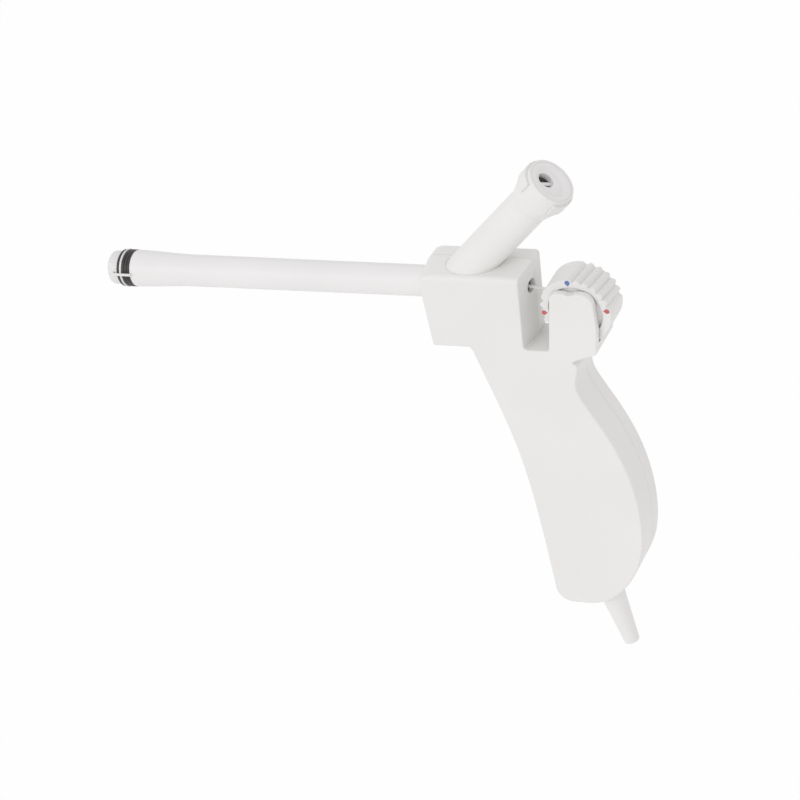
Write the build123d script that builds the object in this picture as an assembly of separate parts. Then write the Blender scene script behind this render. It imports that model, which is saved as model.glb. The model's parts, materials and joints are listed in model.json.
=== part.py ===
from build123d import *
import math
import os

# Rubber-band ligator. X runs back from the muzzle face along the barrel, +Z is up, and the
# barrel, port and nozzle lie in the plane Y = 0. Housing outlines are drawn in x, z from the
# body datum, which is where the barrel meets the housing.

# Clearance of parts that seat in each other, and how far a cutter runs past what it cuts
FIT = 0.02
CUT_MARGIN = 1.0

# Bands and the drum that carries them
HOOD_LENGTH = 4.7
BAND_COUNT = 4
BAND_WIDTH = 1.1
BAND_GAP = 0.06
BAND_THICKNESS = 0.6
BAND_EDGE = 0.2
DRUM_R = 6.2
MOUTH_R = 4.6
MOUTH_DEPTH = 2.4
DRUM_BORE_R = 4.35
DRUM_LIP_R = 1.4
SPIGOT_LENGTH = 12.0
SPIGOT_WALL = 0.75

# Cord
CORD_R = 0.6
STRAND_R = 0.5
LOOP_R = 0.4
STRAND_ANGLE = 12.0
STRAND_HOLE_X = 3.2
STRAND_TAIL = 0.8
STRAND_HOLE_CLEARANCE = 0.12
STRAND_LIFT = 0.06
STRAND_BENDS = [4.0, 0.8, 0.8]
STRAND_BEND_X = 2.0
CRIMP_R = 1.7
CRIMP_LENGTH = 5.0
CRIMP_SETBACK = 6.0
CRIMP_EDGE = 0.3
CRIMP_GAP = 0.15
CORD_BEND_X = 34.5
CORD_BEND_R = 9.0
CORD_SET_DEPTH = 1.6
CORD_POCKET_CLEARANCE = 0.15

# Barrel
BARREL_LENGTH = 119.8
SHOULDER_R = 6.75
SHAFT_FRONT_R = 5.83
SHAFT_REAR_R = 5.62
BARREL_WALL = 0.95
FLARE_LENGTH = 25.0
FLARE_STEP = 0.35
FLARE_SHARE = 0.4
FLARE_END_SLOPE = -0.002
BARREL_SOCKET = 9.0
BARREL_STOP_R = 6.6
BARREL_STOP_WIDTH = 1.5
BARREL_STOP_ROOT = 0.3

# Housing block
HALF_WIDTH = 9.0
PARTING_Y = 2.7
DRAFT_INSET = 1.8
WALL = 1.8
EDGE_R = 0.6
TOP_EDGE_R = 2.2
BLOCK_FRONT_X = -2.3
BLOCK_TOP_Z = 9.4
BLOCK_BOTTOM_Z = -23.2
BLOCK_REAR_X = 38.5
REAR_LEAN = 0.12
NOSE_R = 5.6
CHIN_R = 2.5
REAR_CORNER_R = 1.3
MIN_CORNER_R = 0.3

# Grip frame and cheeks, as side-view points from the body datum
BRIDGE_FRONT_X = 8.5
BRIDGE_TOP_Z = -15.0
FLARE_CORNER = (13.9, -21.0)
FLARE_R = 3.0
FRONT_STRAP = [(17.9, -38.6), (22.7, -62.0), (25.4, -94.0)]
TOE_CORNER = (26.0, -134.3)
TOE_R = 6.0
HEEL_START = (37.0, -134.3)
BACK_STRAP = [(51.2, -128.4), (60.4, -116.0), (65.5, -93.0), (63.3, -69.5), (57.3, -52.5),
              (52.7, -42.5), (51.3, -35.0), (53.2, -27.6)]
TANG = (61.5, -22.1)
TANG_RUN = (4.0, 1.4)
TANG_R = 1.4
CHEEK_FOOT = (63.5, -12.0)
CHEEK_FOOT_R = 15.0
CHEEK_TOP_Z = 2.7
CHEEK_REAR_X = 64.0
CHEEK_FRONT_X = 48.4
CHEEK_FRONT_R = 3.2
CHEEK_REAR_R = 4.4
CHEEK_GAP = 0.3
NOTCH_FLOOR = [(34.4, -21.6), (43.75, -21.6)]
NOTCH_R = 1.5
REAR_HOLE_R = 2.6
REAR_HOLE_LENGTH = 12.0

# Thumbwheel
WHEEL_X = 55.6
WHEEL_Z = -6.2
WHEEL_R = 13.06
WHEEL_WIDTH = 12.3
TOOTH_PITCHES = 24
SMOOTH_ARCS = [(100.0, 150.0), (300.0, 360.0)]
TOOTH_DEPTH = 1.1
VALLEY_HALF_ANGLE = 8.0
VALLEY_REACH = 0.6
RECESS_R = 10.0
NEAR_RECESS_DEPTH = 1.4
FAR_RECESS_DEPTH = 2.5
HUB_R = 3.4
GROOVE_WIDTH = 2.0
SPOOL_R = 10.8
AXLE_R = 1.6
RUN_CLEARANCE = 0.05
SLOT_CLEARANCE = 0.7
AXLE_SEAT = 1.4
CORD_ENTRY_ANGLE = 156.0

# Index marks on the near face of the wheel
MARK_ANGLE = 94.0
MARK_R = 11.85
MARK_SIZE = 0.95
MARK_TIP = 1.5
MARK_SHOULDER = 4.0
MARK_DEPTH = 0.3
INDEX_NOTCH_R = 4.2
INDEX_NOTCH_DEPTH = 0.5
INDEX_NOTCH_LAND = 0.5

# Click ratchet on the far side of the wheel
RATCHET_R = 6.6
RATCHET_STEP = 0.9
RATCHET_TEETH = 4
RATCHET_PHASE = 86.0
RATCHET_SLOPE = 40.0
RATCHET_WIDTH = 1.6
CLICK_THICKNESS = 0.4
CLICK_WIDTH = 1.2
CLICK_ANGLE = 270.0
CLICK_TIP_GAP = 0.12
CLICK_SIDE_GAP = 0.2
CLICK_POST_R = 0.9
CLICK_POST_OFFSET = 1.7
CLICK_POST_TURN = 62.0

# Port
PORT_X = 8.85
PORT_TILT = 43.3
PORT_LENGTH = 62.0
PORT_R = 7.15
PORT_WALL = 1.15
PORT_FOOT_Z = 3.2
COLLAR_R = 8.8
COLLAR_LENGTH = 8.0
COLLAR_LEAD = 4.5
COLLAR_LIP = 0.35
LUG_R = 9.6
LUG_LENGTH = 4.6
LUG_ANGLE = 104.0
LUG_SETBACK = 1.6
LUG_ROOT = 0.3
CAP_RIM = 0.9
CAP_THICKNESS = 3.4
CAP_SETBACK = 0.05
DISH_DEPTH = 1.2
DISH_RIM = 1.5
DISH_FLOOR_R = 4.9
CAP_HOLE_R = 2.9
CAP_HOLE_OFFSET = 1.7
CAP_BAR_WIDTH = 1.3
CAP_BAR_HEIGHT = 0.8
CAP_BAR_ANGLE = -40.0
CAP_BAR_OFFSET = 0.6
CAP_BAR_ROOT = 0.4
GASKET_BORE_GAP = 0.2
GASKET_THICKNESS = 0.9

# Vacuum manifold
MANIFOLD_R = 6.8
MANIFOLD_START = 0.8
MANIFOLD_END = 31.0
CHAMBER_R = 4.6
SEAL_R = 3.4
SEAL_THICKNESS = 3.2
BARB_X = 20.0
BARB_R = 2.2
BARB_LENGTH = 7.0
BARB_WALL = 0.7
BRANCH_LENGTH = 17.0
RING_SECTION_R = 0.35

# Suction hose and nozzle
HOSE_R = 3.2
HOSE_BORE_R = 2.22
NOZZLE_X = 42.6
NOZZLE_Z = -127.0
NOZZLE_TILT = 9.6
NOZZLE_ROOT_R = 4.75
NOZZLE_TIP_R = 2.95
NOZZLE_LENGTH = 30.8
NOZZLE_BORE_R = 1.8
NOZZLE_FLANGE_R = 6.4
NOZZLE_FLANGE = 2.0
NOZZLE_NECK = 5.0
HOSE_BARB = 8.0
HOSE_BARB_TAPER = 0.15
HOSE_END = 2.0
HOSE_BENDS = [(20.0, -22.0), (30.5, -48.0), (38.0, -82.0)]
HOSE_LEAD = 22.0
HOSE_BEND_R = [22.0, 60.0, 60.0, 60.0]

# Pins and ribs that join the two shells
PIN_R = 1.25
PIN_LENGTH = 8.0
BOSS_R = 2.8
PIN_SPOTS = [(5.0, -16.5), (30.5, -16.0), (44.6, -33.5), (56.5, -74.0), (30.6, -92.0),
             (56.0, -104.0), (31.5, -126.0)]
RIB_WIDTH = 1.4
BLOCK_RIBS = [5.2, 26.0]
BLOCK_RIB_Z = -11.0
BLOCK_RIB_HEIGHT = 24.0
GRIP_RIB_X = 45.0
GRIP_RIB_LENGTH = 60.0
SEAT_WALL = 1.6
SEAT_ROOF = 1.0
CAVITY_SHOULDER = 3.6
CAVITY_CEILING = 2.34
GRIP_RIBS = [-48.0, -66.0, -84.0, -102.0]

# Places worked out from the sizes above
BAND_R = DRUM_R + RUN_CLEARANCE
BAND_OUTER_R = BAND_R + BAND_THICKNESS
LOOP_WIDTH = 2 * LOOP_R
SHOULDER_X = HOOD_LENGTH + BAND_COUNT * BAND_WIDTH + LOOP_WIDTH + (BAND_COUNT + 1) * BAND_GAP
BODY_X = SHOULDER_X + BARREL_LENGTH
BARREL_BORE_R = SHAFT_REAR_R - BARREL_WALL
WHEEL_HALF = WHEEL_WIDTH / 2
CHEEK_INNER_Y = WHEEL_HALF + CHEEK_GAP
WHEEL_CENTRE = (BODY_X + WHEEL_X, WHEEL_Z)
PORT_DIR = (math.cos(math.radians(PORT_TILT)), 0, math.sin(math.radians(PORT_TILT)))
PORT_ORIGIN = (BODY_X + PORT_X, 0, 0)
PORT_BORE_R = PORT_R - PORT_WALL
NOZZLE_DIR = (math.sin(math.radians(NOZZLE_TILT)), 0, -math.cos(math.radians(NOZZLE_TILT)))
NOZZLE_ORIGIN = (BODY_X + NOZZLE_X, 0, NOZZLE_Z)
DRAFT = math.degrees(math.atan(DRAFT_INSET / (PARTING_Y + HALF_WIDTH)))


def at(x, z):
    """Point of the side view, x from the body datum."""
    return (BODY_X + x, z)


def rod(start, direction, radius, length):
    """Solid cylinder from a point along a direction."""
    base = Plane(origin=start, z_dir=direction)
    return base * Cylinder(radius, length, align=(Align.CENTER, Align.CENTER, Align.MIN))


def tube(start, direction, outer, inner, length):
    """Open tube from a point along a direction."""
    return rod(start, direction, outer, length) - rod(start, direction, inner, length)


def cross_rod(x, z, radius, y0, y1):
    """Solid cylinder along Y between two planes."""
    return rod((x, y0, z), (0, 1, 0), radius, y1 - y0)


def along(origin, direction, distance):
    """Point at a distance from an origin along a direction."""
    return tuple(o + d * distance for o, d in zip(origin, direction))


def turned(points):
    """Solid of revolution about the barrel axis from (x, radius) points."""
    profile = Plane.XZ * make_face(Polyline(*points, close=True))
    return revolve(profile, Axis.X)


def turned_on(origin, direction, points):
    """Solid of revolution about any axis from (distance, radius) points."""
    profile = Plane.XZ * make_face(Polyline(*[(r, s) for s, r in points], close=True))
    return Plane(origin=origin, z_dir=direction) * revolve(profile, Axis.Z)


def side_slab(face, y0, y1):
    """Side-view face made into a slab between two Y planes."""
    return Pos(0, y0, 0) * extrude(face, y1 - y0, dir=(0, 1, 0))


def swept(path, radius):
    """Round cord or hose along a path."""
    return sweep((path ^ 0) * Circle(radius), path=path)


# Muzzle end

def band_drum():
    """Clear drum: a hood with a rounded lip, the seat of the bands and a spigot in the barrel."""
    spigot_r = BARREL_BORE_R - FIT
    spigot_bore = spigot_r - SPIGOT_WALL
    end = SHOULDER_X + SPIGOT_LENGTH
    step = SHOULDER_X - BAND_WIDTH
    drum = turned([(0, MOUTH_R), (0, DRUM_R), (SHOULDER_X, DRUM_R), (SHOULDER_X, spigot_r),
                   (end, spigot_r), (end, spigot_bore), (step, spigot_bore), (step, DRUM_BORE_R),
                   (MOUTH_DEPTH, DRUM_BORE_R), (MOUTH_DEPTH, MOUTH_R)])
    lip = drum.edges().filter_by(GeomType.CIRCLE).filter_by_position(Axis.X, -0.01, 0.01)
    drum = fillet(lip.sort_by(SortBy.LENGTH)[-1], DRUM_LIP_R)
    for strand_side in (0, 180):
        drum -= strand_hole(strand_side)
    return drum


def strand_dir(side):
    """Outward direction of one release strand about the barrel axis."""
    angle = math.radians(STRAND_ANGLE + side)
    return (0, -math.cos(angle), math.sin(angle))


def strand_hole(side):
    """Hole through the drum wall for one strand."""
    return rod((STRAND_HOLE_X, 0, 0), strand_dir(side), STRAND_R + STRAND_HOLE_CLEARANCE, 2 * DRUM_R)


def band(index):
    """One stretched band; the cord's loop sits behind the first."""
    front = HOOD_LENGTH + index * (BAND_WIDTH + BAND_GAP)
    if index > 0:
        front += LOOP_WIDTH + BAND_GAP
    back = front + BAND_WIDTH
    return turned([(front, BAND_R), (front, BAND_OUTER_R - BAND_EDGE), (front + BAND_EDGE, BAND_OUTER_R),
                   (back - BAND_EDGE, BAND_OUTER_R), (back, BAND_OUTER_R - BAND_EDGE), (back, BAND_R)])


def release_loop():
    """Loop of cord behind the first band, and the two strands that cross the bands."""
    loop_x = HOOD_LENGTH + BAND_WIDTH + BAND_GAP + LOOP_R
    return [ring_of_cord(loop_x, BAND_R + LOOP_R, LOOP_R)] + [strand(side) for side in (0, 180)]


def ring_of_cord(x, ring_r, section_r):
    """Closed ring about the barrel axis with an eight-sided section."""
    reach = section_r / math.cos(math.pi / 8)
    turns = [math.pi / 8 + k * math.pi / 4 for k in range(8)]
    return turned([(x + reach * math.cos(turn), ring_r + reach * math.sin(turn)) for turn in turns])


def strand(side):
    """Strand from the crimp through the drum wall and back over the bands."""
    _, ny, nz = strand_dir(side)
    inner = BARREL_BORE_R - SPIGOT_WALL - 2 * STRAND_R - LOOP_R / 2
    outer = BAND_OUTER_R + STRAND_R + STRAND_LIFT
    tail = SHOULDER_X + STRAND_TAIL
    crimp_front = SHOULDER_X + SPIGOT_LENGTH + CRIMP_SETBACK - CRIMP_GAP
    stations = [(crimp_front, CRIMP_R - STRAND_R - CRIMP_EDGE), (SHOULDER_X + STRAND_BEND_X, inner),
                (STRAND_HOLE_X, inner), (STRAND_HOLE_X, outer), (tail, outer)]
    points = [(x, ny * r, nz * r) for x, r in stations]
    path = FilletPolyline(*points, radius=STRAND_BENDS)
    return swept(path, STRAND_R)


def cord_crimp():
    """Ferrule that joins the pull cord to the two strands."""
    start = SHOULDER_X + SPIGOT_LENGTH + CRIMP_SETBACK
    ferrule = rod((start, 0, 0), (1, 0, 0), CRIMP_R, CRIMP_LENGTH)
    return chamfer(ferrule.edges().filter_by(GeomType.CIRCLE), CRIMP_EDGE)


def pull_cord():
    """Cord from the crimp down the barrel, out of the rear wall and into the wheel's groove."""
    start = SHOULDER_X + SPIGOT_LENGTH + CRIMP_SETBACK + CRIMP_LENGTH
    bend, direction, reach = cord_run()
    end = along(bend, direction, reach + CORD_SET_DEPTH)
    path = FilletPolyline((start, 0, 0), bend, end, radius=CORD_BEND_R)
    return swept(path, CORD_R)


def cord_run():
    """Last straight run of the cord: where it starts, its direction and its length to the groove's floor."""
    bend = (BODY_X + CORD_BEND_X, 0, 0)
    rim_x, rim_z = wheel_at(CORD_ENTRY_ANGLE, SPOOL_R)
    reach = math.hypot(rim_x - bend[0], rim_z)
    return bend, ((rim_x - bend[0]) / reach, 0, rim_z / reach), reach


# Barrel

def barrel():
    """Tapered tube that flares to the shoulder behind the bands."""
    flare_end = SHOULDER_X + FLARE_LENGTH
    tail = BODY_X + MANIFOLD_START + BARREL_SOCKET
    neck = BODY_X + BLOCK_FRONT_X
    shaft = Line((flare_end, SHAFT_FRONT_R), (neck, SHAFT_REAR_R))
    flare = Spline((SHOULDER_X, SHOULDER_R), (SHOULDER_X + FLARE_LENGTH * FLARE_SHARE, SHOULDER_R - FLARE_STEP),
                   (flare_end, SHAFT_FRONT_R), tangents=[(1, 0), (1, FLARE_END_SLOPE)])
    rest = Polyline((neck, SHAFT_REAR_R), (tail, SHAFT_REAR_R), (tail, BARREL_BORE_R),
                    (SHOULDER_X, BARREL_BORE_R), (SHOULDER_X, SHOULDER_R))
    profile = Plane.XZ * make_face([flare, shaft] + rest.edges())
    shell = revolve(profile, Axis.X)
    stop_x = BODY_X + MANIFOLD_START - BARREL_STOP_WIDTH - FIT
    return shell + tube((stop_x, 0, 0), (1, 0, 0), BARREL_STOP_R, SHAFT_REAR_R - BARREL_STOP_ROOT,
                        BARREL_STOP_WIDTH)


# Housing

def block_face(inset=0.0):
    """Side view of the block, drawn in by an inset."""
    front = BLOCK_FRONT_X + inset
    top = BLOCK_TOP_Z - inset
    bottom = BLOCK_BOTTOM_Z + inset
    rear_top = BLOCK_REAR_X + REAR_LEAN * top - inset
    rear_bottom = BLOCK_REAR_X + REAR_LEAN * bottom - inset
    sketch = make_face(Polyline(at(front, bottom), at(front, top), at(rear_top, top),
                                at(rear_bottom, bottom), close=True))
    corners = [(at(front, top), NOSE_R), (at(front, bottom), CHIN_R), (at(rear_top, top), REAR_CORNER_R)]
    for spot, radius in corners:
        sketch = fillet(nearest_vertex(sketch, spot), max(radius - inset, MIN_CORNER_R))
    return Plane.XZ * sketch


def block(inset, near_y, far_y):
    """Block with a drafted near half and a straight far half."""
    face = Pos(0, PARTING_Y, 0) * block_face(inset)
    near = extrude(face, PARTING_Y - near_y, dir=(0, -1, 0), taper=DRAFT)
    far = extrude(face, far_y - PARTING_Y, dir=(0, 1, 0))
    return near, far


def inward(points, inset):
    """Points of a counter-clockwise outline moved inwards along their normals."""
    moved = []
    for index, (x, z) in enumerate(points):
        before = points[max(index - 1, 0)]
        after = points[min(index + 1, len(points) - 1)]
        run = (after[0] - before[0], after[1] - before[1])
        size = math.hypot(*run)
        moved.append((x - run[1] / size * inset, z + run[0] / size * inset))
    return moved


def side_spline(points, tangents=()):
    """Spline through side-view points."""
    return Spline(*[at(*p) for p in points], tangents=tangents)


def frame_face():
    """Side view of the grip with its flare, tang, cheeks and the bridge inside the block."""
    front = side_spline([FLARE_CORNER] + FRONT_STRAP + [TOE_CORNER])
    foot = Line(at(*TOE_CORNER), at(*HEEL_START))
    back = side_spline([HEEL_START] + BACK_STRAP + [TANG], [(1, 0), TANG_RUN])
    notch_foot, notch_top = NOTCH_FLOOR
    cheek = Polyline(at(*TANG), at(*CHEEK_FOOT), at(CHEEK_REAR_X, CHEEK_TOP_Z), at(CHEEK_FRONT_X, CHEEK_TOP_Z),
                     at(*notch_top), at(*notch_foot), at(notch_foot[0], BRIDGE_TOP_Z),
                     at(BRIDGE_FRONT_X, BRIDGE_TOP_Z), at(BRIDGE_FRONT_X, FLARE_CORNER[1]), at(*FLARE_CORNER))
    sketch = make_face([front, foot, back] + cheek.edges())
    corners = [((CHEEK_REAR_X, CHEEK_TOP_Z), CHEEK_REAR_R), ((CHEEK_FRONT_X, CHEEK_TOP_Z), CHEEK_FRONT_R),
               (CHEEK_FOOT, CHEEK_FOOT_R), (TANG, TANG_R), (notch_top, NOTCH_R), (notch_foot, NOTCH_R),
               (FLARE_CORNER, FLARE_R), (TOE_CORNER, TOE_R)]
    for spot, radius in corners:
        sketch = fillet(nearest_vertex(sketch, at(*spot)), radius)
    return Plane.XZ * sketch


def nearest_vertex(sketch, spot):
    """Corner of a sketch nearest to a point."""
    target = Vector(spot[0], spot[1], 0)
    return min(sketch.vertices(), key=lambda v: (Vector(v.X, v.Y, 0) - target).length)


def grip_cavity_face():
    """Side view of the hollow in the grip, one wall inside the straps."""
    outline = [FLARE_CORNER] + FRONT_STRAP + [TOE_CORNER]
    front = inward(outline, WALL)[1:-1] + [(TOE_CORNER[0] + WALL, TOE_CORNER[1] + TOE_R)]
    back = inward([HEEL_START] + BACK_STRAP + [TANG], WALL)[:-1]
    notch_foot, notch_top = NOTCH_FLOOR
    inner_x = notch_foot[0] - WALL
    front_x = FLARE_CORNER[0] + CAVITY_SHOULDER
    ceiling = notch_foot[1] - CAVITY_CEILING
    foot = [front[-1], (TOE_CORNER[0] + TOE_R, TOE_CORNER[1] + WALL), back[0]]
    top = [back[-1], (back[-1][0], notch_top[1] - CAVITY_SHOULDER), (notch_top[0], ceiling), (inner_x, ceiling),
           (inner_x, BRIDGE_TOP_Z), (front_x, BRIDGE_TOP_Z), front[0]]
    edges = [side_spline(front), side_spline(back)]
    edges += Polyline(*[at(*p) for p in foot]).edges() + Polyline(*[at(*p) for p in top]).edges()
    return Plane.XZ * make_face(edges)


def outer_body():
    """Block, grip and cheeks as one solid form, before it is hollowed and split."""
    near, far = block(0.0, -HALF_WIDTH, HALF_WIDTH)
    near = fillet(near.faces().sort_by(Axis.Y)[0].edges(), EDGE_R) - top_edge_trim()
    far = fillet(far.faces().sort_by(Axis.Y)[-1].edges(), EDGE_R)
    frame = side_slab(frame_face(), -HALF_WIDTH, HALF_WIDTH)
    rims = frame.faces().sort_by(Axis.Y)[0].edges() + frame.faces().sort_by(Axis.Y)[-1].edges()
    frame = fillet(rims, EDGE_R)
    return near + far + frame


def top_edge_trim():
    """What the large rounding takes off the block's near top edge."""
    near_top = BLOCK_TOP_Z - DRAFT_INSET
    r = TOP_EDGE_R
    corner = Pos(BODY_X, -HALF_WIDTH, near_top) * Box(4 * BLOCK_REAR_X, 2 * r, 2 * r)
    turn = math.radians(DRAFT)
    spot = (BODY_X - 2 * BLOCK_REAR_X, -HALF_WIDTH + r, near_top + r * math.tan(turn) - r / math.cos(turn))
    return corner - rod(spot, (1, 0, 0), r, 4 * BLOCK_REAR_X) - below_corner(spot, r)


def below_corner(spot, r):
    """Room behind the rounding that the trim leaves alone."""
    under = Pos(BODY_X, spot[1], spot[2] - r) * Box(5 * BLOCK_REAR_X, 6 * r, 2 * r)
    inside = Pos(BODY_X, spot[1] + 2 * r, spot[2]) * Box(5 * BLOCK_REAR_X, 4 * r, 6 * r)
    return under + inside


def hollow():
    """Space inside the housing: the chamber of the block and the hollow of the grip."""
    near, far = block(WALL, WALL - HALF_WIDTH, HALF_WIDTH - WALL)
    grip = side_slab(grip_cavity_face(), WALL - HALF_WIDTH, HALF_WIDTH - WALL)
    guard_r = WHEEL_R + SLOT_CLEARANCE + WALL
    guard = cross_rod(*WHEEL_CENTRE, guard_r, -2 * HALF_WIDTH, 2 * HALF_WIDTH)
    seat_r = NOZZLE_FLANGE_R + SEAT_WALL
    seat_end = NOZZLE_FLANGE + WALL + FIT
    seat = turned_on(NOZZLE_ORIGIN, NOZZLE_DIR, [
        (-SEAT_ROOF, 0), (-SEAT_ROOF, seat_r), (seat_end, seat_r), (seat_end, 0)])
    return near + far + (grip - guard - seat)


def wheel_slot():
    """Round slot between the cheeks for the thumbwheel."""
    return cross_rod(*WHEEL_CENTRE, WHEEL_R + SLOT_CLEARANCE, -CHEEK_INNER_Y, CHEEK_INNER_Y)


def housing_cuts():
    """Every hole through the housing: barrel, port, rear hole, axle, nozzle and index notch."""
    barrel_hole = rod((BODY_X + 2 * BLOCK_FRONT_X, 0, 0), (1, 0, 0), SHAFT_REAR_R + FIT,
                      WALL - 2 * BLOCK_FRONT_X + DRAFT_INSET)
    stop_x = BODY_X + MANIFOLD_START - BARREL_STOP_WIDTH - 2 * FIT
    barrel_hole += rod((stop_x, 0, 0), (1, 0, 0), BARREL_STOP_R + FIT, BARREL_STOP_WIDTH + WALL)
    port_hole = rod(PORT_ORIGIN, PORT_DIR, PORT_R + FIT, PORT_LENGTH)
    rear_hole = rod((BODY_X + MANIFOLD_END, 0, 0), (1, 0, 0), REAR_HOLE_R, REAR_HOLE_LENGTH)
    axle_seat = cross_rod(*WHEEL_CENTRE, AXLE_R + FIT, -CHEEK_INNER_Y - AXLE_SEAT, CHEEK_INNER_Y + AXLE_SEAT)
    index_notch = cross_rod(WHEEL_CENTRE[0], CHEEK_TOP_Z + INDEX_NOTCH_R - INDEX_NOTCH_DEPTH, INDEX_NOTCH_R,
                            -HALF_WIDTH - CUT_MARGIN, -CHEEK_INNER_Y + INDEX_NOTCH_LAND)
    return barrel_hole + port_hole + rear_hole + axle_seat + index_notch + nozzle_pocket()


def nozzle_pocket():
    """Stepped pocket in the foot of the grip that traps the nozzle's flange and ring."""
    flange_r = NOZZLE_FLANGE_R + FIT
    root_r = NOZZLE_ROOT_R + FIT
    flange_end = NOZZLE_FLANGE + FIT
    return turned_on(NOZZLE_ORIGIN, NOZZLE_DIR, [
        (-HOSE_END, 0), (-HOSE_END, NOZZLE_ROOT_R), (-FIT, NOZZLE_ROOT_R), (-FIT, flange_r),
        (flange_end, flange_r), (flange_end, root_r), (NOZZLE_LENGTH, root_r), (NOZZLE_LENGTH, 0)])


def bosses(y0, y1):
    """Pin bosses that stand on a side wall."""
    return [cross_rod(*at(*spot), BOSS_R, y0, y1) for spot in PIN_SPOTS]


def ribs(y0, y1):
    """Webs that carry the manifold and the hose."""
    webs = []
    for x in BLOCK_RIBS:
        webs.append(Pos(BODY_X + x, (y0 + y1) / 2, BLOCK_RIB_Z) * Box(RIB_WIDTH, y1 - y0, BLOCK_RIB_HEIGHT))
    for z in GRIP_RIBS:
        webs.append(Pos(BODY_X + GRIP_RIB_X, (y0 + y1) / 2, z) * Box(GRIP_RIB_LENGTH, y1 - y0, RIB_WIDTH))
    return webs


def rib_relief():
    """Room in the webs for the manifold and the hose."""
    manifold_room = rod((BODY_X, 0, 0), (1, 0, 0), MANIFOLD_R + FIT, MANIFOLD_END)
    barb_room = rod((BODY_X + BARB_X, 0, 0), (0, 0, -1), HOSE_R + FIT, BLOCK_RIB_HEIGHT)
    return manifold_room + barb_room + swept(hose_path(), HOSE_R + FIT)


def shell(body, space, y0, y1):
    """One half of the housing between two planes, with its bosses and webs."""
    wall_y0 = max(y0, WALL - HALF_WIDTH)
    wall_y1 = min(y1, HALF_WIDTH - WALL)
    reach = 2 * (BODY_X + CHEEK_REAR_X)
    half = (body - space) & (Pos(BODY_X, (y0 + y1) / 2, 0) * Box(reach, y1 - y0, reach))
    fill = [piece & space for piece in ribs(wall_y0, wall_y1) + bosses(wall_y0, wall_y1)]
    for piece in fill:
        half += piece
    half -= rib_relief()
    for spot in PIN_SPOTS:
        half -= cross_rod(*at(*spot), PIN_R, PARTING_Y - PIN_LENGTH / 2 - FIT, PARTING_Y + PIN_LENGTH / 2 + FIT)
    return half


# Thumbwheel

def wheel_at(angle, radius):
    """Point of the wheel's side view, by angle from +X and radius."""
    turn = math.radians(angle)
    return (WHEEL_CENTRE[0] + radius * math.cos(turn), WHEEL_CENTRE[1] + radius * math.sin(turn))


def tooth_valley(angle):
    """Wedge cut between two teeth."""
    mouth_r = WHEEL_R + VALLEY_REACH
    corners = [wheel_at(angle, WHEEL_R - TOOTH_DEPTH), wheel_at(angle - VALLEY_HALF_ANGLE, mouth_r),
               wheel_at(angle + VALLEY_HALF_ANGLE, mouth_r)]
    wedge = Plane.XZ * make_face(Polyline(*corners, close=True))
    return side_slab(wedge, -WHEEL_WIDTH, WHEEL_WIDTH)


def valley_angles():
    """Angles of the valleys; the two smooth stretches of the rim have none."""
    pitch = 360 / TOOTH_PITCHES
    angles = [(MARK_ANGLE + pitch * (i + 0.5)) % 360 for i in range(TOOTH_PITCHES)]
    return [angle for angle in angles if not any(low < angle < high for low, high in SMOOTH_ARCS)]


def cord_groove():
    """Groove that the cord winds into; it stops short of the first smooth stretch."""
    half = GROOVE_WIDTH / 2
    ring = cross_rod(*WHEEL_CENTRE, WHEEL_R + CUT_MARGIN, -half, half)
    ring -= cross_rod(*WHEEL_CENTRE, SPOOL_R, -half, half)
    low, high = SMOOTH_ARCS[0]
    corners = [WHEEL_CENTRE] + [wheel_at(angle, 2 * WHEEL_R) for angle in (low, (low + high) / 2, high)]
    return ring - side_slab(Plane.XZ * make_face(Polyline(*corners, close=True)), -half, half)


def face_recess(y0, y1):
    """Ring-shaped recess round the hub."""
    return cross_rod(*WHEEL_CENTRE, RECESS_R, y0, y1) - cross_rod(*WHEEL_CENTRE, HUB_R, y0, y1)


def thumbwheel():
    """Serrated wheel with a cord groove, dished faces and a hub."""
    wheel = cross_rod(*WHEEL_CENTRE, WHEEL_R, -WHEEL_HALF, WHEEL_HALF)
    for angle in valley_angles():
        wheel -= tooth_valley(angle)
    wheel -= face_recess(-WHEEL_HALF, NEAR_RECESS_DEPTH - WHEEL_HALF)
    wheel -= face_recess(WHEEL_HALF - FAR_RECESS_DEPTH, WHEEL_HALF)
    wheel -= cord_groove()
    wheel -= cross_rod(*WHEEL_CENTRE, AXLE_R + RUN_CLEARANCE, -WHEEL_HALF, WHEEL_HALF)
    bend, direction, reach = cord_run()
    pocket_end = reach + CORD_SET_DEPTH + CORD_POCKET_CLEARANCE
    wheel -= rod(bend, direction, CORD_R + CORD_POCKET_CLEARANCE, pocket_end)
    for k in range(RATCHET_TEETH):
        wheel -= mark_solid(MARK_ANGLE + 90 * k)
    return wheel


def mark_solid(angle):
    """Drop-shaped index mark inlaid in the near rim, with its tip towards the hub."""
    y0 = -WHEEL_HALF
    y1 = MARK_DEPTH - WHEEL_HALF
    corners = [wheel_at(angle, MARK_R - MARK_TIP), wheel_at(angle + MARK_SHOULDER, MARK_R),
               wheel_at(angle - MARK_SHOULDER, MARK_R)]
    tip = side_slab(Plane.XZ * make_face(Polyline(*corners, close=True)), y0, y1)
    return cross_rod(*wheel_at(angle, MARK_R), MARK_SIZE, y0, y1) + tip


def wheel_axle():
    """Axle pin held in the two cheeks."""
    reach = CHEEK_INNER_Y + AXLE_SEAT - FIT
    return cross_rod(*WHEEL_CENTRE, AXLE_R, -reach, reach)


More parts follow.
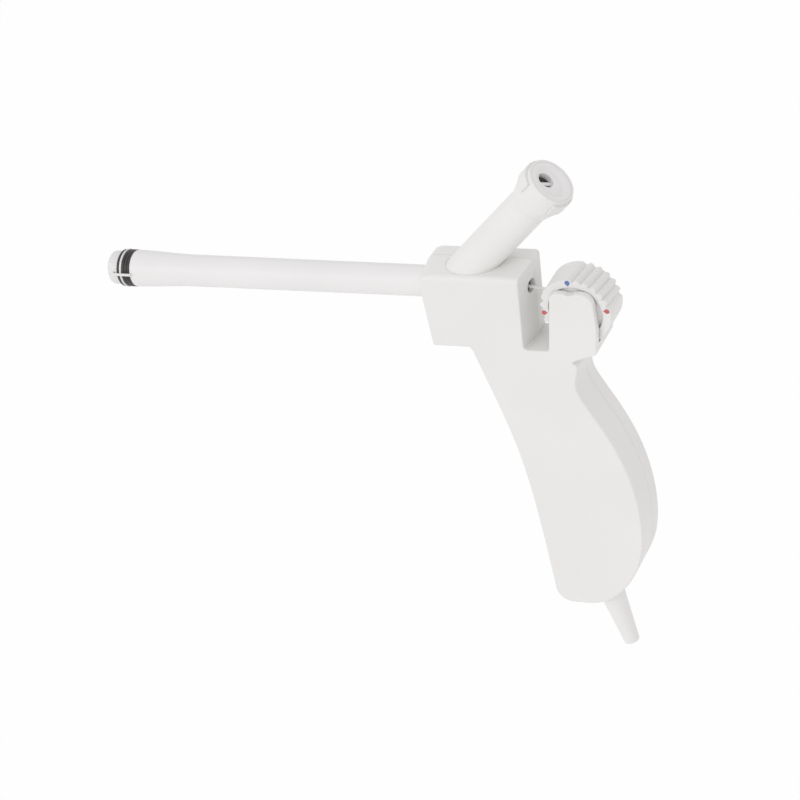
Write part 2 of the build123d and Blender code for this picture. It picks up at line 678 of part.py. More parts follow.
def ratchet_disc():
    """Saw-toothed disc pressed on the hub, one tooth for each quarter turn."""
    cx, cz = WHEEL_CENTRE
    y0 = WHEEL_HALF - FAR_RECESS_DEPTH
    disc = cross_rod(cx, cz, RATCHET_R, y0, y0 + RATCHET_WIDTH)
    for k in range(RATCHET_TEETH):
        angle = MARK_ANGLE + RATCHET_PHASE + 90 * k
        ramp_end = angle + RATCHET_SLOPE
        corners = [wheel_at(angle, RATCHET_R - RATCHET_STEP), wheel_at(angle, RATCHET_R + CUT_MARGIN),
                   wheel_at(ramp_end, RATCHET_R + CUT_MARGIN), wheel_at(ramp_end, RATCHET_R)]
        wedge = Plane.XZ * make_face(Polyline(*corners, close=True))
        disc -= side_slab(wedge, y0, y0 + RATCHET_WIDTH)
    return disc - cross_rod(cx, cz, HUB_R + FIT, y0, y0 + RATCHET_WIDTH)


def click_spring():
    """Leaf that rests on the ratchet disc, with its foot wrapped on the far cheek's post."""
    tip = wheel_at(CLICK_ANGLE, RATCHET_R + CLICK_TIP_GAP)
    post = wheel_at(CLICK_ANGLE + CLICK_POST_TURN, RATCHET_R + CLICK_POST_OFFSET)
    y0 = WHEEL_HALF - FAR_RECESS_DEPTH + CLICK_SIDE_GAP
    run = (post[0] - tip[0], post[1] - tip[1])
    length = math.hypot(*run)
    nx, nz = run[1] / length * CLICK_THICKNESS, -run[0] / length * CLICK_THICKNESS
    leaf = make_face(Polyline(tip, post, (post[0] + nx, post[1] + nz), (tip[0] + nx, tip[1] + nz), close=True))
    strip = side_slab(Plane.XZ * leaf, y0, y0 + CLICK_WIDTH)
    eye = cross_rod(*post, CLICK_POST_R + CLICK_THICKNESS, y0, y0 + CLICK_WIDTH)
    return (strip + eye) - cross_rod(*post, CLICK_POST_R + FIT, y0, y0 + CLICK_WIDTH)


def click_post():
    """Post on the inside of the far cheek for the click spring."""
    post = wheel_at(CLICK_ANGLE + CLICK_POST_TURN, RATCHET_R + CLICK_POST_OFFSET)
    y0 = WHEEL_HALF - FAR_RECESS_DEPTH + CLICK_SIDE_GAP
    return cross_rod(*post, CLICK_POST_R, y0, CHEEK_INNER_Y + CHEEK_GAP)


# Port

def port_tube():
    """Angled tube, coped at its foot to sit on the manifold."""
    end = PORT_LENGTH - COLLAR_LENGTH
    pipe = tube(PORT_ORIGIN, PORT_DIR, PORT_R, PORT_BORE_R, end)
    saddle = rod((BODY_X - PORT_LENGTH, 0, 0), (1, 0, 0), MANIFOLD_R + FIT, 2 * PORT_LENGTH)
    low = Pos(BODY_X, 0, PORT_FOOT_Z - PORT_LENGTH / 2) * Box(4 * PORT_LENGTH, PORT_LENGTH, PORT_LENGTH)
    return pipe - saddle - low


def port_collar():
    """Collar on the end of the tube, with a tapered lead and two lugs."""
    start = PORT_LENGTH - COLLAR_LENGTH
    socket = start - COLLAR_LEAD
    seat = PORT_LENGTH - CAP_THICKNESS
    cap_r = COLLAR_R - CAP_RIM
    ring = turned_on(PORT_ORIGIN, PORT_DIR, [
        (socket, PORT_R + FIT), (socket, PORT_R + COLLAR_LIP), (start, COLLAR_R), (PORT_LENGTH, COLLAR_R),
        (PORT_LENGTH, cap_r), (seat - GASKET_THICKNESS, cap_r), (seat - GASKET_THICKNESS, PORT_BORE_R),
        (start + FIT, PORT_BORE_R), (start + FIT, PORT_R + FIT)])
    lug_start = PORT_LENGTH - LUG_SETBACK - LUG_LENGTH
    plane = Plane(origin=along(PORT_ORIGIN, PORT_DIR, lug_start), x_dir=(0, 1, 0), z_dir=PORT_DIR)
    wing = Cylinder(LUG_R, LUG_LENGTH, align=(Align.CENTER, Align.CENTER, Align.MIN))
    core = Cylinder(COLLAR_R - LUG_ROOT, LUG_LENGTH, align=(Align.CENTER, Align.CENTER, Align.MIN))
    reach = 2 * LUG_R
    side_x = reach * math.sin(math.radians(LUG_ANGLE / 2))
    side_y = reach * math.cos(math.radians(LUG_ANGLE / 2))
    sector = Polyline((0, 0), (side_x, side_y), (0, 2 * reach), (-side_x, side_y), close=True)
    wedge = extrude(make_face(sector), LUG_LENGTH)
    lugs = (wing - core) & (wedge + Rot(0, 0, 180) * wedge)
    return ring + plane * lugs


def cap_profile_r():
    """Radius of the cap inside the collar's rim."""
    return COLLAR_R - CAP_RIM - FIT


def port_cap():
    """Cap with a flat rim and a shallow dish; a bar crosses its hole, which sits above the centre."""
    back = PORT_LENGTH - CAP_THICKNESS + FIT
    face = PORT_LENGTH - CAP_SETBACK
    floor = face - DISH_DEPTH
    outer = cap_profile_r()
    cap = turned_on(PORT_ORIGIN, PORT_DIR, [(back, 0), (back, outer), (face, outer), (face, outer - DISH_RIM),
                                            (floor, DISH_FLOOR_R), (floor, 0)])
    plane = Plane(origin=along(PORT_ORIGIN, PORT_DIR, back), x_dir=(0, 1, 0), z_dir=PORT_DIR)
    upright = (Align.CENTER, Align.CENTER, Align.MIN)
    cap -= plane * Pos(0, CAP_HOLE_OFFSET, 0) * Cylinder(CAP_HOLE_R, CAP_THICKNESS, align=upright)
    span = 2 * CAP_HOLE_R + CAP_BAR_ROOT
    bar = Pos(0, -CAP_BAR_OFFSET, 0) * Box(span, CAP_BAR_WIDTH, CAP_BAR_HEIGHT, align=upright)
    return cap + plane * Pos(0, CAP_HOLE_OFFSET, 0) * Rot(0, 0, CAP_BAR_ANGLE) * bar


def port_gasket():
    """Gasket between the cap and the collar's seat."""
    start = PORT_LENGTH - CAP_THICKNESS - GASKET_THICKNESS + FIT
    return tube(along(PORT_ORIGIN, PORT_DIR, start), PORT_DIR, cap_profile_r(), PORT_BORE_R + GASKET_BORE_GAP,
                GASKET_THICKNESS - FIT)


# Vacuum path inside the housing

def vacuum_manifold():
    """Tee that joins barrel, port tube, hose barb and cord seal."""
    start = BODY_X + MANIFOLD_START
    end = BODY_X + MANIFOLD_END
    body = rod((start, 0, 0), (1, 0, 0), MANIFOLD_R, end - start)
    body += rod(PORT_ORIGIN, PORT_DIR, PORT_BORE_R - RUN_CLEARANCE, BRANCH_LENGTH)
    body += rod((BODY_X + BARB_X, 0, -MANIFOLD_R + 1), (0, 0, -1), BARB_R, BARB_LENGTH)
    body -= rod((start, 0, 0), (1, 0, 0), SHAFT_REAR_R + FIT, BARREL_SOCKET + FIT)
    body -= rod((start, 0, 0), (1, 0, 0), CHAMBER_R, end - start - SEAL_THICKNESS)
    body -= rod((end - SEAL_THICKNESS, 0, 0), (1, 0, 0), SEAL_R + FIT, SEAL_THICKNESS)
    body -= rod(PORT_ORIGIN, PORT_DIR, CHAMBER_R, BRANCH_LENGTH)
    body -= rod((BODY_X + BARB_X, 0, 0), (0, 0, -1), BARB_R - BARB_WALL, MANIFOLD_R + BARB_LENGTH)
    groove_width = 2 * (RING_SECTION_R + FIT)
    groove_x = start + (BARREL_SOCKET - groove_width) / 2
    return body - rod((groove_x, 0, 0), (1, 0, 0), SHAFT_REAR_R + groove_width, groove_width)


def barrel_seal_ring():
    """Rubber ring that seals the barrel in the manifold."""
    middle = BODY_X + MANIFOLD_START + BARREL_SOCKET / 2
    return ring_of_cord(middle, SHAFT_REAR_R + FIT + RING_SECTION_R, RING_SECTION_R)


def cord_seal():
    """Rubber gland that the cord slides through."""
    start = BODY_X + MANIFOLD_END - SEAL_THICKNESS
    plug = rod((start, 0, 0), (1, 0, 0), SEAL_R, SEAL_THICKNESS)
    return plug - rod((start, 0, 0), (1, 0, 0), CORD_R + FIT, SEAL_THICKNESS)


def hose_path():
    """Centre line of the hose from the manifold's barb to the nozzle's barb."""
    top = (BODY_X + BARB_X, 0, -MANIFOLD_R - FIT)
    low = along(NOZZLE_ORIGIN, NOZZLE_DIR, -HOSE_END)
    bends = [(BODY_X + x, 0, z) for x, z in HOSE_BENDS]
    lead = along(NOZZLE_ORIGIN, NOZZLE_DIR, -HOSE_LEAD)
    return FilletPolyline(top, *bends, lead, low, radius=HOSE_BEND_R)


def suction_hose():
    """Hose pushed over both barbs."""
    path = hose_path()
    return swept(path, HOSE_R) - swept(path, HOSE_BORE_R)


def suction_nozzle():
    """Tapered nozzle with a flange in the grip's foot and a barb for the hose."""
    length = NOZZLE_LENGTH
    return turned_on(NOZZLE_ORIGIN, NOZZLE_DIR, [
        (-HOSE_BARB, NOZZLE_BORE_R), (-HOSE_BARB, BARB_R - HOSE_BARB_TAPER), (-HOSE_END, BARB_R), (0, BARB_R),
        (0, NOZZLE_FLANGE_R), (NOZZLE_FLANGE, NOZZLE_FLANGE_R), (NOZZLE_FLANGE, NOZZLE_ROOT_R),
        (NOZZLE_FLANGE + NOZZLE_NECK, NOZZLE_ROOT_R),
        (length, NOZZLE_TIP_R), (length, NOZZLE_BORE_R)])


def assembly_pins():
    """Pins that join the two shells."""
    reach = PIN_LENGTH / 2
    return [cross_rod(*at(*spot), PIN_R, PARTING_Y - reach, PARTING_Y + reach) for spot in PIN_SPOTS]


def save(name, shape):
    """Write one node; a list becomes a group of separate solids."""
    if isinstance(shape, list):
        shape = Compound(children=[solid for piece in shape for solid in piece.solids()])
    shape.label = name
    export_step(shape, f"parts/{name}.step")


def build():
    """Make every node."""
    os.makedirs("parts", exist_ok=True)
    body = outer_body() - wheel_slot()
    space = hollow()
    cuts = housing_cuts()
    save("housing_left", shell(body, space, -HALF_WIDTH - CUT_MARGIN, PARTING_Y) - cuts)
    far = shell(body, space, PARTING_Y, HALF_WIDTH + CUT_MARGIN)
    save("housing_right", far + click_post() - cuts)
    save("assembly_pins", assembly_pins())
    save("barrel", barrel())
    save("band_drum", band_drum())
    for index in range(BAND_COUNT):
        save(f"band_{index + 1}", band(index))
    save("release_loop", release_loop())
    save("cord_crimp", cord_crimp())
    save("pull_cord", pull_cord())
    save("thumbwheel", thumbwheel())
    save("index_mark_blue", mark_solid(MARK_ANGLE))
    save("index_marks_red", [mark_solid(MARK_ANGLE + 90 * k) for k in range(1, RATCHET_TEETH)])
    save("wheel_axle", wheel_axle())
    save("ratchet_disc", ratchet_disc())
    save("click_spring", click_spring())
    save("port_tube", port_tube())
    save("port_collar", port_collar())
    save("port_cap", port_cap())
    save("port_gasket", port_gasket())
    save("vacuum_manifold", vacuum_manifold())
    save("barrel_seal_ring", barrel_seal_ring())
    save("cord_seal", cord_seal())
    save("suction_hose", suction_hose())
    save("suction_nozzle", suction_nozzle())


build()
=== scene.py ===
import json
import math

import bmesh
import bpy
from mathutils import Matrix, Vector


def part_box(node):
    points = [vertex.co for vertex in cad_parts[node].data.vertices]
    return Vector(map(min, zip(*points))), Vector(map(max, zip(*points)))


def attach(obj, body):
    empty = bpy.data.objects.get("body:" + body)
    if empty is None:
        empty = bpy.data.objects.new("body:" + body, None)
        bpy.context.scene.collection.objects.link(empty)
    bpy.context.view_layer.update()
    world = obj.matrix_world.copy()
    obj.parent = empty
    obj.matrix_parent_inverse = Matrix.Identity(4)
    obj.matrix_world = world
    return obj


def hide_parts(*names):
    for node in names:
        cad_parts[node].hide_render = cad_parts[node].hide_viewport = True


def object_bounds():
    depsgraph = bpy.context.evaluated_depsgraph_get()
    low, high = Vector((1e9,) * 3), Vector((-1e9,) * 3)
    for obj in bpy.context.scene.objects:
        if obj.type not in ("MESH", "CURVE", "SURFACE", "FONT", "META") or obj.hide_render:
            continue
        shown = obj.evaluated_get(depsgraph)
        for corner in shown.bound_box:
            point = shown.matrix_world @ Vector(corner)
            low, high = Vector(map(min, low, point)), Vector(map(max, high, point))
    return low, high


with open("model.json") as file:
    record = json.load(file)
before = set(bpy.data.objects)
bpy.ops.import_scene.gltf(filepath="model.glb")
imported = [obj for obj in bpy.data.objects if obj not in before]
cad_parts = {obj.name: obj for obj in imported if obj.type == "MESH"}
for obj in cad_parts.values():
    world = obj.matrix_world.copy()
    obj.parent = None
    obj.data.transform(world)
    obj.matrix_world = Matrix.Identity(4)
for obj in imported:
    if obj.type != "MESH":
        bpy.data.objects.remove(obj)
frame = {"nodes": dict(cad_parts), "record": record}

# Camera, fitted to the photograph: metres, degrees, and millimetres for lens and sensor
AIM = Vector((0.10532, 0.0, -0.05310))
AZIMUTH = 30.75
ELEVATION = 32.57
ROLL = 14.15
DISTANCE = 1.0963
LENS = 135.0
SENSOR = 36.0
CLIP_START = 0.05
CLIP_END = 50.0

# Light
SKY_STRENGTH = 0.835
SKY_COLOUR = (1.0, 0.98, 0.992)
KEY_DIRECTION = Vector((-0.35, -0.80, 0.48))
KEY_STRENGTH = 0.52
KEY_ANGLE = 35.0

# White background, for the rays that see it directly
WORLD_WHITE = 1.0
FLOOR_WHITE = 0.93

# Floor
FLOOR_DROP = 0.12
FLOOR_SIZE = 12.0
FLOOR_COLOUR = (0.97, 0.97, 0.97)
FLOOR_ROUGHNESS = 0.9

# Noise: the middle of its range is spread over the whole change that it makes
NOISE_LOW = 0.3
NOISE_HIGH = 0.7
LIGHT_SHARE = 0.5

# Moulded plastic
CLOUD_SPREAD = 0.02
GLOSS_BELOW = 0.05
GLOSS_ABOVE = 0.07
EDGE_RADIUS = 0.0002
EDGE_SAMPLES = 4
COARSE_GRAIN = 0.00002
FINE_GRAIN = 0.00001
ROUGHNESS = {"housing": 0.42, "barrel": 0.42, "wheel": 0.44, "port": 0.38, "cap": 0.34, "nozzle": 0.36,
             "inner": 0.5, "pin": 0.5}
GRAIN = {"housing": COARSE_GRAIN, "barrel": FINE_GRAIN, "wheel": COARSE_GRAIN, "port": FINE_GRAIN,
         "cap": FINE_GRAIN, "nozzle": FINE_GRAIN, "inner": COARSE_GRAIN, "pin": COARSE_GRAIN}

# Parting line of the two shells: the line is real, and its dark colour is painted shade standing in for
# the shade of a hairline gap
SEAM_Y = 0.0027
SEAM_HALF_WIDTH = 0.00007
SEAM_SHADE_DARKNESS = 0.55

# Other finishes, with the braid's pitch in metres and its turns in radians
BRAID_PITCH = 0.0011
BRAID_TURNS = (0.8, -0.8)
FADE = 0.72
FADE_LIFT = 0.12
SEAL_ROUGHNESS = 0.6
HOSE_ROUGHNESS = 0.35
VINYL_SPREAD = 0.06

# Thumbwheel, in metres and degrees about its axle
WHEEL_R = 0.01306
TOOTH_PITCH = 15.0
TOOTH_DEPTH = 0.0012
TOOTH_TWIST = 7.0
TOOTH_SLICES = 8
VALLEY_HALF_ANGLE = 6.5
VALLEY_ROUNDING = 1.15
FIRST_VALLEY = 101.5
SMOOTH_ARCS = ((100.0, 150.0), (300.0, 360.0))
RIM_BEVEL = 0.00016
RECESS_R = 0.010
NEAR_DISH_R = 0.0072
NEAR_DISH_DEPTH = 0.0012
FAR_RECESS_DEPTH = 0.0025
HUB_R = 0.0034
AXLE_HOLE_R = 0.00165
MARK_STAND = 0.00004
WHEEL_STEPS = 720
CREASE_ANGLE = 28.0

# What the record says of each slot and node
COLOURS = {entry["slot"]: entry["base_color"][:3] for entry in frame["record"]["materials"]}
SLOTS = {entry["node"]: entry["material_slot"] for entry in frame["record"]["subparts"]}


def box_now():
    """The whole object's box as plain numbers."""
    low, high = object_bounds()
    return [list(low), list(high)]


cad_box = box_now()


# Camera

def make_camera():
    azimuth = math.radians(AZIMUTH)
    elevation = math.radians(ELEVATION)
    roll = math.radians(ROLL)
    level_reach = math.cos(elevation)
    forward = Vector((-math.sin(azimuth) * level_reach, math.cos(azimuth) * level_reach,
                      -math.sin(elevation)))
    level = forward.cross(Vector((0, 0, 1))).normalized()
    upright = level.cross(forward)
    up = upright * math.cos(roll) + level * math.sin(roll)
    right = forward.cross(up)
    data = bpy.data.cameras.new("camera")
    data.lens = LENS
    data.sensor_width = SENSOR
    data.sensor_fit = "HORIZONTAL"
    data.clip_start = CLIP_START
    data.clip_end = CLIP_END
    camera = bpy.data.objects.new("camera", data)
    bpy.context.scene.collection.objects.link(camera)
    turn = Matrix((right, up, -forward)).transposed().to_4x4()
    camera.matrix_world = Matrix.Translation(AIM - forward * DISTANCE) @ turn
    bpy.context.scene.camera = camera


# Materials

class Shader:
    """A node material with a Principled shader, built up by small calls."""

    def __init__(self, name):
        self.material = bpy.data.materials.new(name)
        self.material.use_nodes = True
        self.tree = self.material.node_tree
        self.principled = self.tree.nodes["Principled BSDF"]
        self.coordinates = self.node("ShaderNodeTexCoord")

    def node(self, kind, **values):
        made = self.tree.nodes.new(kind)
        for key, value in values.items():
            setattr(made, key, value)
        return made

    def link(self, source, target):
        self.tree.links.new(source, target)

    def noise(self, scale, detail=3.0, roughness=0.5):
        made = self.node("ShaderNodeTexNoise")
        made.inputs["Scale"].default_value = scale
        made.inputs["Detail"].default_value = detail
        made.inputs["Roughness"].default_value = roughness
        self.link(self.coordinates.outputs["Object"], made.inputs["Vector"])
        return made.outputs["Fac"]

    def wave(self, pitch, turn):
        """Waves across the object, turned about Y and Z."""
        spin = self.node("ShaderNodeMapping")
        spin.inputs["Rotation"].default_value = (0, turn, turn)
        self.link(self.coordinates.outputs["Object"], spin.inputs["Vector"])
        made = self.node("ShaderNodeTexWave")
        made.inputs["Scale"].default_value = 1 / pitch
        self.link(spin.outputs["Vector"], made.inputs["Vector"])
        return made.outputs["Fac"]

    def remap(self, source, low, high):
        made = self.node("ShaderNodeMapRange")
        made.inputs["From Min"].default_value = NOISE_LOW
        made.inputs["From Max"].default_value = NOISE_HIGH
        made.inputs["To Min"].default_value = low
        made.inputs["To Max"].default_value = high
        self.link(source, made.inputs["Value"])
        return made.outputs["Result"]

    def tint(self, source, colour, spread):
        """Base colour between a darker and a lighter tone of the colour."""
        dark = [c * (1 - spread) for c in colour]
        light = [min(1.0, c * (1 + spread * LIGHT_SHARE)) for c in colour]
        made = self.node("ShaderNodeMix", data_type="RGBA")
        made.inputs["A"].default_value = dark + [1.0]
        made.inputs["B"].default_value = light + [1.0]
        self.link(self.remap(source, 0.0, 1.0), made.inputs["Factor"])
        self.link(made.outputs["Result"], self.principled.inputs["Base Color"])
        return made.outputs["Result"]

    def shade(self, base, share, darkness):
        """Darkens the base colour where the share is 1."""
        made = self.node("ShaderNodeMix", data_type="RGBA", blend_type="MULTIPLY")
        made.inputs["B"].default_value = [darkness, darkness, darkness, 1.0]
        self.link(share, made.inputs["Factor"])
        self.link(base, made.inputs["A"])
        self.link(made.outputs["Result"], self.principled.inputs["Base Color"])

    def line_at_y(self, y, half_width):
        """1 on the plane at y, fading to 0 at half a width from it."""
        split = self.node("ShaderNodeSeparateXYZ")
        self.link(self.coordinates.outputs["Object"], split.inputs["Vector"])
        offset = self.node("ShaderNodeMath", operation="SUBTRACT")
        self.link(split.outputs["Y"], offset.inputs[0])
        offset.inputs[1].default_value = y
        size = self.node("ShaderNodeMath", operation="ABSOLUTE")
        self.link(offset.outputs["Value"], size.inputs[0])
        made = self.node("ShaderNodeMapRange", interpolation_type="SMOOTHSTEP")
        made.inputs["From Min"].default_value = 0.0
        made.inputs["From Max"].default_value = half_width
        made.inputs["To Min"].default_value = 1.0
        made.inputs["To Max"].default_value = 0.0
        self.link(size.outputs["Value"], made.inputs["Value"])
        return made.outputs["Result"]

    def soft_edge(self):
        """Normal that rounds the edges slightly."""
        made = self.node("ShaderNodeBevel", samples=EDGE_SAMPLES)
        made.inputs["Radius"].default_value = EDGE_RADIUS
        return made.outputs["Normal"]

    def bump(self, source, depth, strength, after=None):
        made = self.node("ShaderNodeBump")
        made.inputs["Strength"].default_value = strength
        made.inputs["Distance"].default_value = depth
        self.link(source, made.inputs["Height"])
        if after is not None:
            self.link(after, made.inputs["Normal"])
        self.link(made.outputs["Normal"], self.principled.inputs["Normal"])
        return made.outputs["Normal"]

    def rough(self, source, low, high):
        self.link(self.remap(source, low, high), self.principled.inputs["Roughness"])

    def set(self, **values):
        for key, value in values.items():
            self.principled.inputs[key.replace("_", " ")].default_value = value


def moulded(slot, seam_shade=False):
    """Injection-moulded plastic: a fine spark grain over a slow ripple of the mould face."""
    shader = Shader(f"{slot}_plastic")
    base = shader.tint(shader.noise(scale=28.0, detail=2.0), COLOURS[slot], CLOUD_SPREAD)
    if seam_shade:
        # Painted shade: a thin dark line along the shells' parting line, where a hairline gap would hold
        # shade
        shader.shade(base, shader.line_at_y(SEAM_Y, SEAM_HALF_WIDTH), SEAM_SHADE_DARKNESS)
    roughness = ROUGHNESS[slot]
    shader.rough(shader.noise(scale=160.0, detail=4.0), roughness - GLOSS_BELOW, roughness + GLOSS_ABOVE)
    ripple = shader.bump(shader.noise(scale=42.0, detail=1.0), depth=0.00004, strength=0.6,
                         after=shader.soft_edge())
    shader.bump(shader.noise(scale=2600.0, detail=2.0, roughness=0.6), depth=GRAIN[slot], strength=0.5,
                after=ripple)
    shader.set(IOR=1.49, Specular_IOR_Level=0.4)
    return shader.material


def clear_plastic():
    """Frosted clear plastic with a slight bloom."""
    shader = Shader("hood_plastic")
    shader.tint(shader.noise(scale=60.0), COLOURS["clear"], spread=0.03)
    shader.rough(shader.noise(scale=400.0), low=0.34, high=0.42)
    shader.bump(shader.noise(scale=120.0, detail=1.0), depth=0.00001, strength=0.3)
    shader.set(Transmission_Weight=0.12, IOR=1.46)
    return shader.material


def band_rubber():
    """Stretched latex: fine creases and a waxy patchy sheen."""
    shader = Shader("band_latex")
    shader.tint(shader.noise(scale=350.0, detail=5.0), COLOURS["band"], spread=0.35)
    shader.rough(shader.noise(scale=700.0), low=0.34, high=0.55)
    shader.bump(shader.noise(scale=1500.0, detail=4.0), depth=0.00005, strength=0.7)
    shader.set(IOR=1.5)
    return shader.material


def braid():
    """Braided cord: crossed waves make the strands, and their colour darkens into the grooves between
    them as painted shade.
    """
    shader = Shader("cord_braid")
    strand_height_and_groove_shade = shader.node("ShaderNodeMath", operation="MAXIMUM")
    for side, turn in enumerate(BRAID_TURNS):
        shader.link(shader.wave(BRAID_PITCH, turn), strand_height_and_groove_shade.inputs[side])
    # Painted shade: the colour follows the strand height, darker down in the grooves
    shader.tint(strand_height_and_groove_shade.outputs["Value"], COLOURS["cord"], spread=0.12)
    shader.rough(shader.noise(scale=900.0), low=0.7, high=0.85)
    shader.bump(strand_height_and_groove_shade.outputs["Value"], depth=0.00012, strength=0.8)
    shader.set(Sheen_Weight=0.3)
    return shader.material


def enamel(slot):
    """Printed index colour, slightly worn and faded."""
    shader = Shader(f"mark_{slot}")
    faded = [c * FADE + FADE_LIFT for c in COLOURS[slot]]
    shader.tint(shader.noise(scale=1400.0, detail=4.0), faded, spread=0.15)
    shader.rough(shader.noise(scale=900.0), low=0.3, high=0.45)
    shader.bump(shader.noise(scale=1800.0), depth=0.00001, strength=0.5)
    return shader.material


def steel():
    """Drawn stainless wire and pin."""
    shader = Shader("pin_steel")
    shader.tint(shader.noise(scale=800.0), COLOURS["steel"], spread=0.08)
    shader.rough(shader.noise(scale=1500.0), low=0.25, high=0.4)
    shader.bump(shader.noise(scale=2200.0), depth=0.00001, strength=0.4)
    shader.set(Metallic=1.0)
    return shader.material


def vinyl(name, slot, roughness):
    """Soft vinyl or rubber inside the housing."""
    shader = Shader(name)
    shader.tint(shader.noise(scale=200.0), COLOURS[slot], VINYL_SPREAD)
    shader.rough(shader.noise(scale=500.0), roughness - VINYL_SPREAD, roughness + VINYL_SPREAD)
    shader.bump(shader.noise(scale=1200.0), depth=0.00003, strength=0.5)
    return shader.material


def make_materials():
    """One material for each slot."""
    made = {slot: moulded(slot, seam_shade=slot == "housing") for slot in ROUGHNESS}
    made["clear"] = clear_plastic()
    made["band"] = band_rubber()
    made["cord"] = braid()
    made["blue"] = enamel("blue")
    made["red"] = enamel("red")
    made["seal"] = vinyl("seal_rubber", "seal", SEAL_ROUGHNESS)
    made["hose"] = vinyl("hose_vinyl", "hose", HOSE_ROUGHNESS)
    made["steel"] = steel()
    return made


def dress_nodes(materials):
    for name, obj in frame["nodes"].items():
        obj.data.materials.clear()
        obj.data.materials.append(materials[SLOTS[name]])


# Thumbwheel: V-cut teeth right across the rim, between two smooth arcs

def in_smooth_arc(angle):
    return any(low < angle % 360 < high for low, high in SMOOTH_ARCS)


def rim_cut(angle):
    """Depth of the rim's surface below the tips at an angle in degrees."""
    valley = FIRST_VALLEY + round((angle - FIRST_VALLEY) / TOOTH_PITCH) * TOOTH_PITCH
    if in_smooth_arc(valley):
        return 0.0
    share = min(1.0, abs(angle - valley) / VALLEY_HALF_ANGLE)
    return TOOTH_DEPTH * (1 - share) ** VALLEY_ROUNDING


def wheel_section(rim_r, half):
    """Closed section of the wheel at one angle, as points of radius and y.

    The near face lies a little lower than the solid's, so that the index marks stand on it.
    """
    near = -half + MARK_STAND
    far_floor = half - FAR_RECESS_DEPTH
    rim_near = near + RIM_BEVEL
    slice_width = (half - RIM_BEVEL - rim_near) / TOOTH_SLICES
    edge_r = rim_r - RIM_BEVEL
    near_side = [(AXLE_HOLE_R, near), (NEAR_DISH_R, near), (RECESS_R, near + NEAR_DISH_DEPTH),
                 (RECESS_R, near), (edge_r, near)]
    rim = [(rim_r, rim_near + slice_width * k) for k in range(TOOTH_SLICES + 1)]
    far_side = [(edge_r, half), (RECESS_R, half), (RECESS_R, far_floor), (HUB_R, far_floor),
                (HUB_R, half), (AXLE_HOLE_R, half)]
    return near_side + rim + far_side


def wheel_mesh(centre, half):
    """The section turned round the axle, with the teeth twisted from the near to the far face."""
    build = bmesh.new()
    rings = []
    for step in range(WHEEL_STEPS):
        angle = 360 * step / WHEEL_STEPS
        ring = []
        for r, y in wheel_section(WHEEL_R - rim_cut(angle), half):
            turn = math.radians(angle - TOOTH_TWIST * (y + half) / (2 * half))
            point = (centre.x + r * math.cos(turn), y, centre.z + r * math.sin(turn))
            ring.append(build.verts.new(point))
        rings.append(ring)
    for ring, after in zip(rings, rings[1:] + rings[:1]):
        for k in range(len(ring)):
            m = (k + 1) % len(ring)
            build.faces.new((ring[k], ring[m], after[m], after[k])).smooth = True
    bmesh.ops.recalc_face_normals(build, faces=build.faces)
    mesh = bpy.data.meshes.new("serrated_wheel")
    build.to_mesh(mesh)
    build.free()
    mesh.set_sharp_from_angle(angle=math.radians(CREASE_ANGLE))
    return mesh


def make_thumbwheel(material):
    low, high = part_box("thumbwheel")
    axle_low, axle_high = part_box("wheel_axle")
    centre = (Vector(axle_low) + Vector(axle_high)) / 2
    half = (Vector(high).y - Vector(low).y) / 2
    mesh = wheel_mesh(centre, half)
    mesh.materials.append(material)
    wheel = bpy.data.objects.new("serrated_wheel", mesh)
    bpy.context.scene.collection.objects.link(wheel)
    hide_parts("thumbwheel")
    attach(wheel, "wheel")


# Stage

def seen_directly(tree):
    """1 for camera, glossy and transmission rays, which see the plain white background."""
    path = tree.nodes.new("ShaderNodeLightPath")
    share = path.outputs["Is Camera Ray"]
    for ray in ("Is Glossy Ray", "Is Transmission Ray"):
        either = tree.nodes.new("ShaderNodeMath")
        either.operation = "MAXIMUM"
        tree.links.new(share, either.inputs[0])
        tree.links.new(path.outputs[ray], either.inputs[1])
        share = either.outputs["Value"]
    return share


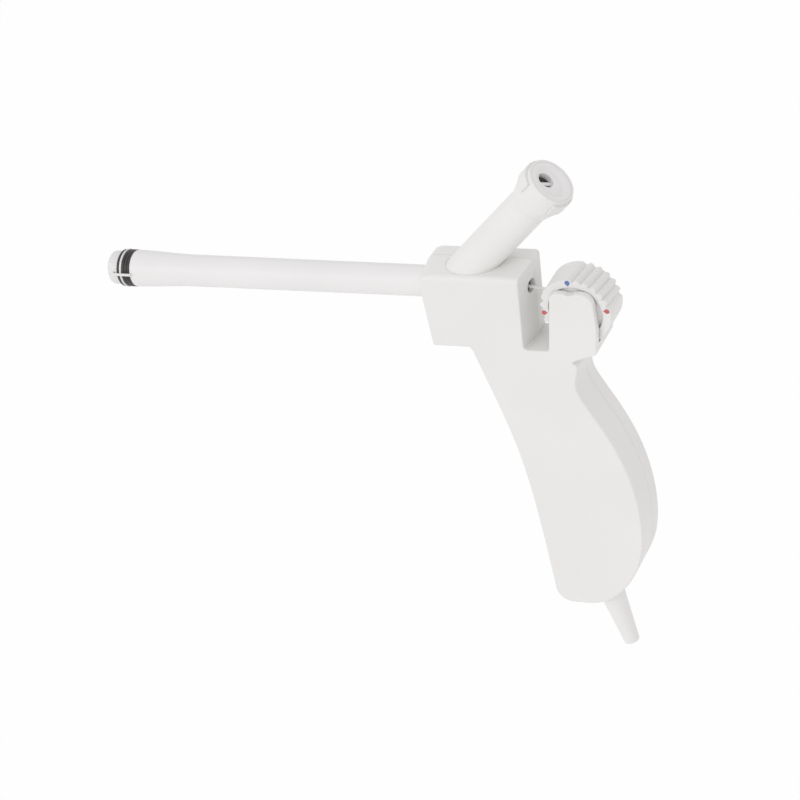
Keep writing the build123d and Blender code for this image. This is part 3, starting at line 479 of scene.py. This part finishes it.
def blend_shaders(tree, share, first, second, surface):
    """The first shader where the share is 0, and the second where it is 1."""
    mix = tree.nodes.new("ShaderNodeMixShader")
    tree.links.new(share, mix.inputs["Fac"])
    tree.links.new(first, mix.inputs[1])
    tree.links.new(second, mix.inputs[2])
    tree.links.new(mix.outputs["Shader"], surface)


def make_world():
    world = bpy.data.worlds.new("studio")
    bpy.context.scene.world = world
    world.use_nodes = True
    tree = world.node_tree
    sky = tree.nodes["Background"]
    sky.inputs["Color"].default_value = (*SKY_COLOUR, 1)
    sky.inputs["Strength"].default_value = SKY_STRENGTH
    white = tree.nodes.new("ShaderNodeBackground")
    white.inputs["Strength"].default_value = WORLD_WHITE
    blend_shaders(tree, seen_directly(tree), sky.outputs["Background"], white.outputs["Background"],
                  tree.nodes["World Output"].inputs["Surface"])


def make_key():
    data = bpy.data.lights.new("key", "SUN")
    data.energy = KEY_STRENGTH
    data.angle = math.radians(KEY_ANGLE)
    lamp = bpy.data.objects.new("key", data)
    bpy.context.scene.collection.objects.link(lamp)
    lamp.rotation_mode = "QUATERNION"
    lamp.rotation_quaternion = KEY_DIRECTION.to_track_quat("Z", "Y")


def floor_material():
    """Matt white that keeps the object's shadow, under a white glow for the rays that see it directly."""
    material = bpy.data.materials.new("floor_white")
    material.use_nodes = True
    tree = material.node_tree
    plain = tree.nodes["Principled BSDF"]
    plain.inputs["Base Color"].default_value = (*FLOOR_COLOUR, 1)
    plain.inputs["Roughness"].default_value = FLOOR_ROUGHNESS
    glow = tree.nodes.new("ShaderNodeEmission")
    share = tree.nodes.new("ShaderNodeMath")
    share.operation = "MULTIPLY"
    share.inputs[1].default_value = FLOOR_WHITE
    tree.links.new(seen_directly(tree), share.inputs[0])
    blend_shaders(tree, share.outputs["Value"], plain.outputs["BSDF"], glow.outputs["Emission"],
                  tree.nodes["Material Output"].inputs["Surface"])
    return material


def make_floor():
    lowest = cad_box[0][2]
    bpy.ops.mesh.primitive_plane_add(size=FLOOR_SIZE, location=(0, 0, lowest - FLOOR_DROP))
    floor = bpy.context.object
    floor.name = "floor"
    floor.data.materials.append(floor_material())


make_camera()
make_world()
make_key()
make_floor()
finishes = make_materials()
dress_nodes(finishes)
make_thumbwheel(finishes["wheel"])
bpy.context.scene.view_settings.view_transform = "Standard"
